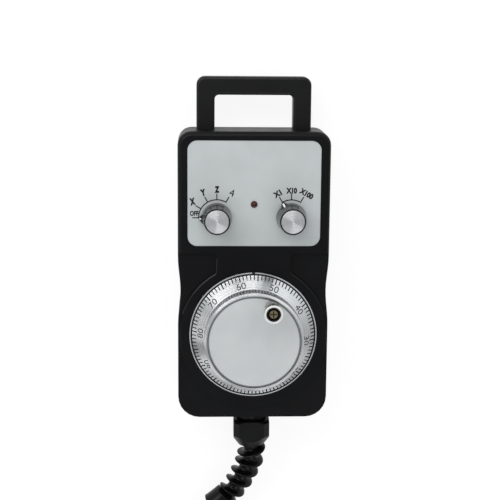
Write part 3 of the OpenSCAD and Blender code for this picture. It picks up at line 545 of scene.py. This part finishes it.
def add_lead():
    """The sheathed cable, from the gland through the guard into its coil, and to the plug."""
    inside = ground_route(GUARD_ROUTE[1:])
    route = inside[:-1] + ground_route(LEAD_ROUTE) + coil_route() + ground_route(TAIL_ROUTE)
    lead = swept("lead_sheath", route, [[CABLE_R * MM] * CABLE_SIDES] * len(route), 80)
    dressed(lead, SHEATH, "pendant")
    length = sum((b - a).length for a, b in zip(route, route[1:]))
    return lead, route, length


LEAD, LEAD_PATH, LEAD_LENGTH = add_lead()


# Radii of the guard: inside the nut, of its core, of its rib's crest and of its collar's foot.
SLEEVE_R, CORE_R, CREST_R, COLLAR_R = 5.1, 4.5, 9.2, 4.3
# How much the core and the crest narrow over the guard's length.
CORE_TAPER, CREST_TAPER = 0.5, 1.6
# Shares of the guard's length: the rib's start and end, the collar's steep rise, its chamfer.
RIB_START, RIB_END, COLLAR_RISE, CHAMFER_START = 0.125, 0.7, 0.04, 0.93
# The rib's turns, its first direction, and how narrow its crest is.
RIB_TURNS, RIB_FROM, RIB_POWER = 4.88, math.radians(72), 2.4


def guard_collar(along):
    """The radius of the guard's flared collar, with its chamfered end."""
    rise = min((along - RIB_END) / COLLAR_RISE, 1.0)
    flare = min((along - RIB_END) / (CHAMFER_START - RIB_END), 1.0)
    chamfer = max(along - CHAMFER_START, 0.0) / (1 - CHAMFER_START)
    return COLLAR_R + 3.6 * rise + 1.6 * flare - 2.4 * chamfer


def guard_radius(along, turn):
    """Plain inside the nut, then a rib that winds round a narrowing core, and a flared collar."""
    if along <= RIB_START:
        return SLEEVE_R
    if along > RIB_END:
        return guard_collar(along)
    core = CORE_R - CORE_TAPER * along
    crest = CREST_R - CREST_TAPER * along
    wound = 2 * math.pi * RIB_TURNS * (along - RIB_START) / (RIB_END - RIB_START) + RIB_FROM
    return core + (crest - core) * (0.5 + 0.5 * math.cos(wound + turn)) ** RIB_POWER


def add_guard():
    """The spiral bend guard that grows out of the gland's nut."""
    route = ground_route(GUARD_ROUTE, 24)
    last, sides = len(route) - 1, 48
    radii = [[guard_radius(i / last, 2 * math.pi * s / sides) * MM for s in range(sides)]
             for i in range(last + 1)]
    guard = dressed(swept("spiral_guard", route, radii, 50), GUARD, "pendant")
    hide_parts("bend_guard")
    return guard


GUARD_PIECE = add_guard()
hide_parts("cable_lead", "cable_coil", "cable_tail")
tuple(LEAD_PATH[0])
[tuple(p) for p in LEAD_PATH]


# ---------------------------------------------------------------- finishes of the CAD's solids

FINISHES = {
    "front_cover": HOUSING, "rear_cover": HOUSING, "housing_seal": SEAL_AND_SHADE, "cover_screws": ZINC,
    "hanging_handle": HANDLE, "handle_screws": ZINC, "control_plate": PLATE_METAL,
    "bezel_ring": BEZEL, "dial": DIAL_METAL, "dial_face": DISC_METAL, "dial_screw": ZINC,
    "wheel_shaft": STEEL, "shaft_clip": STEEL, "shaft_bearings": STEEL,
    "encoder_body": DIECAST, "encoder_cap": DIECAST, "encoder_disc": SCALE,
    "encoder_board": BOARD, "encoder_sensor": CHIP, "encoder_screws": ZINC,
    "grip": GRIP_METAL, "grip_bush": BRASS, "grip_washer": SEAL_AND_SHADE, "grip_screw": NICKEL,
    "indicator_led": LENS, "led_spacer": ACETAL, "main_board": BOARD, "board_chips": CHIP,
    "board_screws": ZINC, "terminal_block": TERMINAL, "terminal_screws": ZINC,
    "gland_body": GLAND, "gland_locknut": GLAND, "gland_seal": SEAL_AND_SHADE, "gland_nut": GLAND,
    "inner_cable": SHEATH, "connector_shell": PLUG_METAL, "connector_ring": PLUG_METAL,
    "connector_insert": CHIP,
}
for side, cap in (("axis", CAP_METAL), ("multiplier", CAP_METAL_STEP)):
    FINISHES.update({
        side + "_knob": KNOB, side + "_knob_cap": cap, side + "_set_screw": ZINC,
        side + "_shaft": BRASS, side + "_rotor": ACETAL, side + "_switch_body": SWITCH_CASE,
        side + "_wafer": WAFER, side + "_nut": BRASS,
    })


def finish_solids():
    """Puts each finish into every slot of its CAD node."""
    for name, material in FINISHES.items():
        for slot in bpy.data.objects[name].material_slots:
            slot.material = material


finish_solids()


# ---------------------------------------------------------------- printed marks

def cone_height(r):
    """The height in millimetres of the dial's sloping scale at a radius."""
    return DIAL_EDGE[1] + (DIAL_EDGE[0] - r) * math.tan(CONE)


def slab(points, faces, outline, low, high):
    """Adds a thin plate over an outline of (x, y) pairs, to lists of points and faces."""
    base, n = len(points), len(outline)
    points += [mm(x, y, low) for x, y in outline] + [mm(x, y, high) for x, y in outline]
    faces.append(tuple(base + n + k for k in range(n)))
    faces.append(tuple(base + k for k in reversed(range(n))))
    for k in range(n):
        m = (k + 1) % n
        faces.append((base + k, base + m, base + n + m, base + n + k))


def arc_outline(centre, r, width, start, end, steps=28):
    """The outline of a printed arc of a given line width."""
    out = []
    for radius, order in ((r + width / 2, range(steps + 1)), (r - width / 2, range(steps, -1, -1))):
        for k in order:
            a = math.radians(start + (end - start) * k / steps)
            out.append((centre[0] + radius * math.cos(a), centre[1] + radius * math.sin(a)))
    return out


def stroke_outline(centre, inner, outer, degrees, width):
    """The outline of a straight printed line that points away from a centre."""
    a = math.radians(degrees)
    along, across = (math.cos(a), math.sin(a)), (-math.sin(a), math.cos(a))
    return [(centre[0] + along[0] * r + across[0] * w, centre[1] + along[1] * r + across[1] * w)
            for r, w in ((inner, -width / 2), (outer, -width / 2),
                         (outer, width / 2), (inner, width / 2))]


def glyphs(text, height, width, weight=0.0):
    """Letters as a thin solid mesh in millimetres, centred, with a set height and width."""
    curve = bpy.data.curves.new("letters", "FONT")
    curve.body = text
    curve.size = 10
    curve.offset = weight
    curve.extrude = 0.5
    curve.resolution_u = 4
    obj = link(bpy.data.objects.new("letters", curve))
    bpy.context.view_layer.update()
    mesh = bpy.data.meshes.new_from_object(obj.evaluated_get(bpy.context.evaluated_depsgraph_get()))
    points = [v.co.copy() for v in mesh.vertices]
    faces = [tuple(f.vertices) for f in mesh.polygons]
    bpy.data.objects.remove(obj)
    bpy.data.curves.remove(curve)
    bpy.data.meshes.remove(mesh)
    low = Vector([min(v[k] for v in points) for k in range(3)])
    high = Vector([max(v[k] for v in points) for k in range(3)])
    middle = (low + high) / 2
    scale = (width / (high.x - low.x), height / (high.y - low.y), INK_T / (high.z - low.z))
    points = [Vector([(v[k] - middle[k]) * scale[k] for k in range(3)]) for v in points]
    return points, faces


def add_letters(points, faces, text, height, width, place, weight):
    """Adds letters to a print, each point moved by a place function."""
    letters, letter_faces = glyphs(text, height, width, weight)
    base = len(points)
    points += [place(v) for v in letters]
    faces += [tuple(base + k for k in face) for face in letter_faces]


def on_plate(x, y, degrees):
    """Gives a function that places a letter's point flat on the control plate."""
    a = math.radians(degrees)

    def place(v):
        return mm(x + v.x * math.cos(a) - v.y * math.sin(a),
                  y + v.x * math.sin(a) + v.y * math.cos(a), PLATE_TOP + INK_T / 2 + v.z)
    return place


def on_cone(degrees, r):
    """Gives a function that wraps a letter round the dial's sloping scale, its top outwards."""
    def place(v):
        radius = r + v.y * math.cos(CONE)
        lift = INK_T / 2 + v.z
        a = math.radians(degrees) - v.x / r
        out = radius + lift * math.sin(CONE)
        return mm(out * math.cos(a), out * math.sin(a), cone_height(radius) + lift * math.cos(CONE))
    return place


# Radii of the selectors' printed arcs and of their strokes' ends, and the width of their lines.
ARC_R, STROKE_FROM, STROKE_TO, LINE = 10.74, 10.6, 14.4, 0.62
# Each name's height, width, place from its selector's axis, turn in degrees, and weight.
NAMES = [
    (AXIS_AT, "OFF", 3.0, 5.1, (-13.3, 2.6), 0, 0.45),
    (AXIS_AT, "X", 4.3, 3.2, (-14.3, 9.6), 12, 0.85),
    (AXIS_AT, "Y", 4.1, 3.1, (-8.1, 15.0), 14, 0.85),
    (AXIS_AT, "Z", 4.0, 2.8, (0.1, 16.8), 0, 0.85),
    (AXIS_AT, "4", 4.1, 2.9, (8.8, 14.8), -14, 0.0),
    (STEP_AT, "X1", 3.5, 4.8, (-8.3, 14.3), 30, 0.6),
    (STEP_AT, "X10", 3.5, 6.4, (0, 16.2), 0, 0.6),
    (STEP_AT, "X100", 3.5, 8.6, (8.8, 14.4), -30, 0.6),
]


def add_plate_print():
    """Legends of both selectors: an arc, its strokes and the generic names of the positions."""
    points, faces = [], []
    low, high = PLATE_TOP, PLATE_TOP + INK_T
    for centre, first, last in ((AXIS_AT, 183, 59), (STEP_AT, 121, 59)):
        slab(points, faces, arc_outline(centre, ARC_R, LINE, last, first), low, high)
        for degrees in range(60, first, 30):
            outline = stroke_outline(centre, STROKE_FROM, STROKE_TO, degrees, LINE)
            slab(points, faces, outline, low, high)
    for centre, text, height, width, (dx, dy), turn, weight in NAMES:
        add_letters(points, faces, text, height, width,
                    on_plate(centre[0] + dx, centre[1] + dy, turn), weight)
    dressed(mesh_object("selector_legends", points, faces), INK, "pendant")


# Where the 60 stands round the dial at rest, in degrees.
SIXTY_AT = 103.8


def add_dial_numbers():
    """The tens round the dial's scale, rising against the clock."""
    points, faces = [], []
    for k in range(10):
        place = on_cone(SIXTY_AT + 36 * (k - 6), 31.75)
        add_letters(points, faces, str(10 * k), 4.5, 2.7 if k == 0 else 5.7, place, 0.0)
    dressed(mesh_object("dial_numbers", points, faces), WIPED_INK, "handwheel")


# ---------------------------------------------------------------- rings of repeated marks

def ring_tree():
    """A Geometry Nodes tree that sets bars evenly round the dial's axis."""
    tree = bpy.data.node_groups.new("ring_of_bars", "GeometryNodeTree")
    for name, kind in (("Count", "NodeSocketInt"), ("Radius", "NodeSocketFloat"),
                       ("Height", "NodeSocketFloat"), ("Tilt", "NodeSocketFloat"),
                       ("First angle", "NodeSocketFloat"), ("Size", "NodeSocketVector"),
                       ("Finish", "NodeSocketMaterial")):
        tree.interface.new_socket(name=name, in_out="INPUT", socket_type=kind)
    tree.interface.new_socket(name="Geometry", in_out="OUTPUT", socket_type="NodeSocketGeometry")
    given = add(tree, "NodeGroupInput").outputs
    bar = add(tree, "GeometryNodeMeshCube", {"Size": given["Size"]}).outputs[0]
    tilt = add(tree, "ShaderNodeCombineXYZ", {"Y": given["Tilt"]}).outputs[0]
    out = add(tree, "ShaderNodeCombineXYZ", {"X": given["Radius"], "Z": given["Height"]}).outputs[0]
    bar = add(tree, "GeometryNodeTransform", {"Geometry": bar, "Rotation": tilt,
                                              "Translation": out}).outputs[0]
    points = add(tree, "GeometryNodeMeshLine", {"Count": given["Count"], "Offset": (0, 0, 0)})
    step = add(tree, "ShaderNodeMath", {0: 2 * math.pi, 1: given["Count"]}, operation="DIVIDE")
    index = add(tree, "GeometryNodeInputIndex").outputs[0]
    angle = add(tree, "ShaderNodeMath", {0: index, 1: step.outputs[0], 2: given["First angle"]},
                operation="MULTIPLY_ADD").outputs[0]
    turn = add(tree, "ShaderNodeCombineXYZ", {"Z": angle}).outputs[0]
    ring = add(tree, "GeometryNodeInstanceOnPoints", {"Points": points.outputs[0],
                                                      "Instance": bar, "Rotation": turn})
    real = add(tree, "GeometryNodeRealizeInstances", {0: ring.outputs[0]}).outputs[0]
    made = add(tree, "GeometryNodeSetMaterial", {"Geometry": real, "Material": given["Finish"]})
    add(tree, "NodeGroupOutput", {"Geometry": made.outputs[0]})
    return tree


RING_TREE = ring_tree()


def grown(name, tree, values):
    """Runs a Geometry Nodes tree with named values, and keeps its result as a plain mesh."""
    seed = link(bpy.data.objects.new(name, bpy.data.meshes.new(name)))
    grower = seed.modifiers.new("grow", "NODES")
    grower.node_group = tree
    sockets = {item.name: item.identifier for item in tree.interface.items_tree
               if item.in_out == "INPUT"}
    for key, value in values.items():
        grower[sockets[key]] = value
    bpy.context.view_layer.update()
    ready = seed.evaluated_get(bpy.context.evaluated_depsgraph_get())
    mesh = bpy.data.meshes.new_from_object(ready)
    seed.modifiers.clear()
    seed.data = mesh
    mesh.name = name
    clean(seed, 30)
    return seed


def ring_of_bars(name, body, count, r, z, tilt, first, size, finish):
    """A ring of bars given in millimetres and degrees, which turns with a body."""
    ring = grown(name, RING_TREE, {
        "Count": count, "Radius": r * MM, "Height": z * MM, "Tilt": tilt,
        "First angle": math.radians(first), "Size": tuple(v * MM for v in size),
        "Finish": finish,
    })
    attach(ring, body)
    return ring


# The knurl's grooves: their middle's radius and height, half their pitch, and a shade's size.
GROOVE_R, GROOVE_Z, HALF_PITCH, GROOVE_SIZE = 28.95, 46.05, 1.8, (0.4, 0.9, 6.2)


def add_dial_marks():
    """A hundred strokes round the scale, every fifth longer, and painted shade in the knurl's
    grooves.
    """
    slope = math.cos(CONE)
    for name, count, inner, outer, width in (("dial_unit_strokes", 100, 34.3, 36.45, 0.62),
                                             ("dial_five_strokes", 20, 33.8, 36.45, 0.7)):
        r = (inner + outer) / 2
        ring_of_bars(name, "handwheel", count, r, cone_height(r), CONE, SIXTY_AT,
                     ((outer - inner) / slope, width, 2 * INK_T), INK)
    # Painted shade in the knurl's grooves: black bars at their roots, which lie half a pitch from
    # each ridge.
    ring_of_bars("knurl_groove_shades", "handwheel", 100, GROOVE_R, GROOVE_Z, 0, HALF_PITCH,
                 GROOVE_SIZE, BLACK_MARK_AND_SHADE)


# ---------------------------------------------------------------- small pieces

def add_bezel_index():
    """The black index mark across the bezel, at its top."""
    points, faces = [], []
    slab(points, faces, stroke_outline((0, 0), 37.1, BEZEL_R + 0.05, 90, 1.8),
         BEZEL_TOP - 0.6, BEZEL_TOP + 0.06)
    dressed(mesh_object("bezel_index", points, faces), BLACK_MARK_AND_SHADE, "pendant")


def add_pointer_line(name, body, centre, degrees, inner, half):
    """The white line filled into a knob's pointer, from its tip up towards the grip."""
    # The pointer's back falls by 9 in 5, to its tip at this radius and height above the plate.
    rise, run, tip_r, tip_z = 9, 5, 11.6, 0.4
    a = math.radians(degrees)
    along, across = Vector((math.cos(a), math.sin(a), 0)), Vector((-math.sin(a), math.cos(a), 0))
    outwards = (rise * along + Vector((0, 0, run))).normalized()
    points = []
    for r in (inner, 10.25):
        height = PLATE_TOP + tip_z + rise * (tip_r - r) / run
        for side in (-half, half):
            base = Vector((centre[0], centre[1], height)) + r * along + side * across
            points += [(base - 0.15 * outwards) * MM, (base + 0.06 * outwards) * MM]
    faces = [(0, 1, 3, 2), (4, 6, 7, 5), (0, 4, 5, 1), (2, 3, 7, 6), (1, 5, 7, 3), (0, 2, 6, 4)]
    dressed(mesh_object(name, points, faces), PAINT, body)


def raised_edge_route():
    """Down the left side of the raised neck, round its foot and along the ring, with normals."""
    # Half the neck's width, where it starts, the ring's radius and centre, and the foot's bend.
    neck, neck_top, ring, ring_y, bend = 21.7, 46.5, 44.3, -1.5, 3.0
    sweep = math.radians(40)
    foot = Vector((-neck - bend, ring_y + math.sqrt((ring + bend) ** 2 - (neck + bend) ** 2)))
    joint = math.atan2(foot.y - ring_y, foot.x)
    route = [(Vector((-neck, neck_top)), Vector((-1, 0)))]
    for k in range(9):
        a = -(math.pi - joint) * k / 8
        out = Vector((math.cos(a), math.sin(a)))
        route.append((foot + bend * out, -out))
    for k in range(1, 19):
        a = joint + sweep * k / 18
        out = Vector((math.cos(a), math.sin(a)))
        route.append((Vector((0, ring_y)) + ring * out, out))
    return route


def add_face_edges():
    """The small chamfer along both sides of the housing's raised face, coloured paler as a painted
    glint.
    """
    # The chamfer's corners: how far out from the route, and how high above the cover's top.
    section = ((-0.1, 0.01), (0.55, -0.36), (-0.1, -0.5))
    points, faces = [], []
    for side in (1, -1):
        first = len(points)
        route = raised_edge_route()
        for at, out in route:
            for step, rise in section:
                spot = at + step * out
                points.append(mm(side * spot.x, spot.y, COVER_TOP + rise))
        for i in range(len(route) - 1):
            for k in range(3):
                a, b = first + 3 * i + k, first + 3 * i + (k + 1) % 3
                faces.append((a, b, b + 3, a + 3))
        faces += [(first, first + 1, first + 2), tuple(range(len(points) - 3, len(points)))]
    dressed(mesh_object("raised_face_edges", points, faces), FACE_EDGE_GLINT, "pendant")


def add_lamp_flange():
    """The flange moulded round the foot of the lamp's lens, over its hole in the plate."""
    at = node_middle("indicator_led") / MM
    profile = [(r, PLATE_TOP + rise)
               for r, rise in ((1.58, 0.03), (2.05, 0.03), (2.0, 0.3), (1.6, 0.45))]
    lathe("lamp_flange", profile, LENS, "pendant", (at.x, at.y), 48)


def ring_profile(inner, outer, low, high):
    """The four corners of a plain ring's section."""
    return [(inner, low), (outer, low), (outer, high), (inner, high)]


def add_disc_bevel_shade():
    """A flat ring of painted shade round the face disc's edge, standing for its bevel: a grey line
    inside the hub's bright rim.
    """
    lathe("face_disc_painted_bevel_shade", ring_profile(26.5, 27.28, DISC_TOP - 0.1, DISC_TOP + 0.04),
          PAINTED_BEVEL_SHADE, "handwheel")


def add_grip_recess_shade():
    """A black ring of painted shade in the grip's recess, clear of the screw's head and of its
    washer.
    """
    at = node_middle("grip") / MM
    top = node_top("grip") / MM
    lathe("grip_recess_shade", ring_profile(3.62, 4.12, top - 3.55, top - 0.35), SEAL_AND_SHADE, "spinner_grip",
          (at.x, at.y), 96)


def add_screw_cross():
    """Painted shade at the foot of the cross recess in the grip's screw: two crossed black bars."""
    at = node_middle("grip") / MM
    top = node_top("grip_screw") / MM
    points, faces = [], []
    for degrees in (0, 90):
        slab(points, faces, stroke_outline((at.x, at.y), -1.9, 1.9, degrees, 0.5),
             top - 1.3, top - 1.1)
    dressed(mesh_object("screw_cross", points, faces), BLACK_MARK_AND_SHADE, "handwheel")


add_plate_print()
add_dial_numbers()
add_face_edges()
add_lamp_flange()
add_disc_bevel_shade()
add_grip_recess_shade()
add_screw_cross()
add_dial_marks()
add_bezel_index()
add_pointer_line("axis_pointer_line", "axis_selector", AXIS_AT, 180, 9.2, 0.4)
add_pointer_line("step_pointer_line", "multiplier_selector", STEP_AT, 120, 8.5, 0.48)


# ---------------------------------------------------------------- floor, light and finish

def emit_to_eye(tree, shader, strength, amount):
    """Shows a plain white to the camera, to glass and to metal, over the surface's own shading."""
    path = add(tree, "ShaderNodeLightPath").outputs
    seen = maths(tree, "MAXIMUM", path["Is Camera Ray"], path["Is Glossy Ray"])
    seen = maths(tree, "MAXIMUM", seen, path["Is Transmission Ray"])
    share = maths(tree, "MULTIPLY", seen, amount)
    white = add(tree, "ShaderNodeEmission", {"Color": linear("#ffffff"), "Strength": strength})
    return add(tree, "ShaderNodeMixShader", {0: share, 1: shader, 2: white.outputs[0]}).outputs[0]


def add_floor():
    """A plain pale floor, which keeps the soft shadow under the object."""
    half = 3.0
    points = [(-half, -half, 0), (half, -half, 0), (half, half, 0), (-half, half, 0)]
    floor = mesh_object("floor", [Vector(p) for p in points], [(0, 1, 2, 3)])
    material, tree, shader = new_material("pale_floor", "#f4f4f3", Roughness=0.9,
                                          Specular_IOR_Level=0.1)
    output = next(n for n in tree.nodes if n.type == "OUTPUT_MATERIAL")
    tree.links.new(emit_to_eye(tree, shader.outputs[0], 1.05, 0.85), output.inputs["Surface"])
    floor.data.materials.append(material)


# Degrees round the upright axis, and how bright the studio's wall is there.
WALLS = [(-180, 0.25), (-166, 0.9), (-156, 0.0), (-146, 0.0), (-138, 1.5), (-110, 0.95),
         (-97, 1.75), (-84, 1.9), (-60, 0.5), (-45, 0.5), (-24, 0.05), (-4, 0.5), (18, 1.15),
         (45, 1.75), (75, 1.45), (90, 0.5), (110, 0.6), (140, 1.15), (160, 0.8), (180, 0.25)]
OVERHEAD = (0.6, 0.6, 0.6, 1)


def add_world():
    """Studio light from all round: pale walls, with darker gaps between the soft boxes."""
    world = bpy.data.worlds.new("studio")
    bpy.context.scene.world = world
    world.use_nodes = True
    tree = world.node_tree
    tree.nodes.clear()
    way = add(tree, "ShaderNodeSeparateXYZ",
              {0: add(tree, "ShaderNodeTexCoord").outputs["Generated"]}).outputs
    turn = ranged(tree, maths(tree, "ARCTAN2", way["Y"], way["X"]), -math.pi, math.pi)
    walls = add(tree, "ShaderNodeValToRGB", {0: turn})
    while len(walls.color_ramp.elements) < len(WALLS):
        walls.color_ramp.elements.new(0.5)
    for stop, (degrees, level) in zip(walls.color_ramp.elements, WALLS):
        stop.position = (degrees + 180) / 360
        stop.color = (level, level, level, 1)
    level = blend(tree, ranged(tree, way["Z"], 0.55, 0.9), walls.outputs[0], OVERHEAD)
    tinted = blend(tree, 1.0, level, linear("#f3f6f8"), blend_type="MULTIPLY")
    soft = add(tree, "ShaderNodeBackground", {"Color": tinted, "Strength": 0.82})
    white = add(tree, "ShaderNodeBackground", {"Color": linear("#ffffff"), "Strength": 1.0})
    camera = add(tree, "ShaderNodeLightPath").outputs["Is Camera Ray"]
    mixed = add(tree, "ShaderNodeMixShader", {0: camera, 1: soft.outputs[0], 2: white.outputs[0]})
    add(tree, "ShaderNodeOutputWorld", {"Surface": mixed.outputs[0]})


LAMP_AIM = Vector((0, 0.03, 0.03))


def add_lamp(name, place, width, height, watts):
    """A soft box that faces the middle of the object, with its place and size in metres."""
    light = bpy.data.lights.new(name, "AREA")
    light.shape = "RECTANGLE"
    light.size, light.size_y, light.energy = width, height, watts
    lamp = link(bpy.data.objects.new(name, light))
    facing = (LAMP_AIM - Vector(place)).to_track_quat("-Z", "Y").to_matrix().to_4x4()
    lamp.matrix_world = Matrix.Translation(place) @ facing


add_floor()
add_world()
add_lamp("key_softbox", (-0.42, 0.8, 0.8), 1.3, 0.5, 7.9)
add_lamp("fill_softbox", (0.4, -0.8, 0.8), 1.3, 0.5, 2.9)
add_lamp("side_softbox", (-1.0, -0.1, 0.6), 0.6, 0.3, 1.2)
